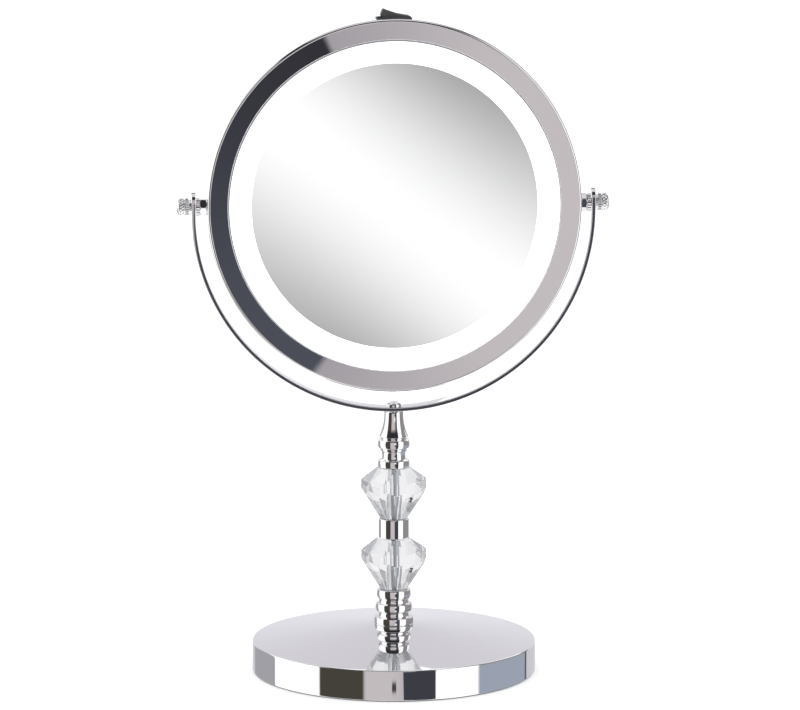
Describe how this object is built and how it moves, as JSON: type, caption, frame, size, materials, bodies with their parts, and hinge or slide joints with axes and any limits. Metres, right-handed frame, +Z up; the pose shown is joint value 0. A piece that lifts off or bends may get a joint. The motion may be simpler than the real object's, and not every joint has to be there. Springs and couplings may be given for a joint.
{
  "type": "countertop mirror",
  "caption": "Lighted double-sided round mirror that turns in a chromed yoke, on a stem of faceted crystals and a heavy domed round base.",
  "frame": {"origin": "centre of the base's underside, on the table", "axes": "+Z up, the lit flat mirror faces -Y, +X runs along the tilt axis"},
  "size_m": [0.232, 0.153, 0.3589],
  "materials": {
    "chrome": "bright nickel-chrome plate, polished",
    "base_chrome": "bright plate over a pressed steel shell, polished with faint spin lines",
    "screw_nickel": "nickel-plated cross-head screw",
    "rod_steel": "ground steel rod",
    "zinc": "zinc-plated fastener",
    "iron": "rough casting, painted",
    "foam": "closed-cell foam pad",
    "crystal": "clear moulded acrylic with polished facets",
    "gasket": "clear soft vinyl washer",
    "mirror": "silvered float glass with a ground edge",
    "diffuser": "opal acrylic, lit from behind",
    "white_plastic": "white moulded plastic",
    "black_plastic": "black moulded plastic",
    "switch_plastic": "dark grey moulded plastic, slightly worn",
    "board": "white solder mask on a glass-fibre board",
    "led": "phosphor gel in a white frame",
    "black_part": "black ceramic chip resistor",
    "cell_jacket": "plain shrink jacket; aluminium's density is near a dry cell's",
    "contact": "tinned spring steel",
    "brass": "bare brass tag",
    "red_wire": "red vinyl insulation",
    "black_wire": "black vinyl insulation"
  },
  "bodies": {
    "stand": {"base_pad": "foam", "base_weight": "iron", "base_shell": "base_chrome", "tie_nut": "zinc", "tie_washer": "zinc", "tie_rod": "rod_steel", "lower_ferrule": "chrome", "lower_crystal": "crystal", "middle_sleeve": "chrome", "upper_crystal": "crystal", "upper_ferrule": "chrome", "crystal_gaskets": "gasket", "yoke": "chrome", "yoke_screw": "screw_nickel"},
    "head": {"drum_band": "chrome", "front_bezel": "chrome", "diffuser_ring": "diffuser", "front_mirror": "mirror", "mirror_tape": "foam", "chassis": "white_plastic", "chassis_screws": "zinc", "led_board": "board", "led_chips": "led", "led_resistors": "black_part", "battery_holder": "black_plastic", "battery_cells": "cell_jacket", "battery_contacts": "contact", "positive_lead": "red_wire", "negative_lead": "black_wire", "board_lead": "black_wire", "switch_housing": "switch_plastic", "switch_terminals": "brass", "switch_pin": "rod_steel", "pivot_stud_left": "rod_steel", "pivot_stud_right": "rod_steel", "pivot_nuts": "zinc", "hex_spacer_left": "chrome", "hex_spacer_right": "chrome", "milled_washer_left": "chrome", "milled_washer_right": "chrome", "outer_washer_left": "chrome", "outer_washer_right": "chrome"},
    "rocker": {"switch_rocker": "switch_plastic"},
    "rear_cover": {"rear_bezel": "chrome", "rear_mirror": "mirror", "rear_backing": "white_plastic", "rear_clips": "contact"},
    "left_knob": {"knob_left": "chrome"},
    "right_knob": {"knob_right": "chrome"}
  },
  "joints": [
    {"name": "mirror_tilt", "type": "hinge", "parent": "stand", "child": "head", "pos_m": [0, 0, 0.254], "axis": [1, 0, 0], "continuous": true},
    {"name": "left_knob_turn", "type": "hinge", "parent": "head", "child": "left_knob", "pos_m": [-0.112, 0, 0.254], "axis": [-1, 0, 0], "range_deg": [0, 270]},
    {"name": "right_knob_turn", "type": "hinge", "parent": "head", "child": "right_knob", "pos_m": [0.112, 0, 0.254], "axis": [1, 0, 0], "range_deg": [0, 270]},
    {"name": "switch_press", "type": "hinge", "parent": "head", "child": "rocker", "pos_m": [0, 0, 0.352], "axis": [0, -1, 0], "range_deg": [0, 30]},
    {"name": "rear_cover_pull", "type": "slide", "parent": "head", "child": "rear_cover", "axis": [0, 1, 0], "range_m": [0, 0.012]}
  ]
}
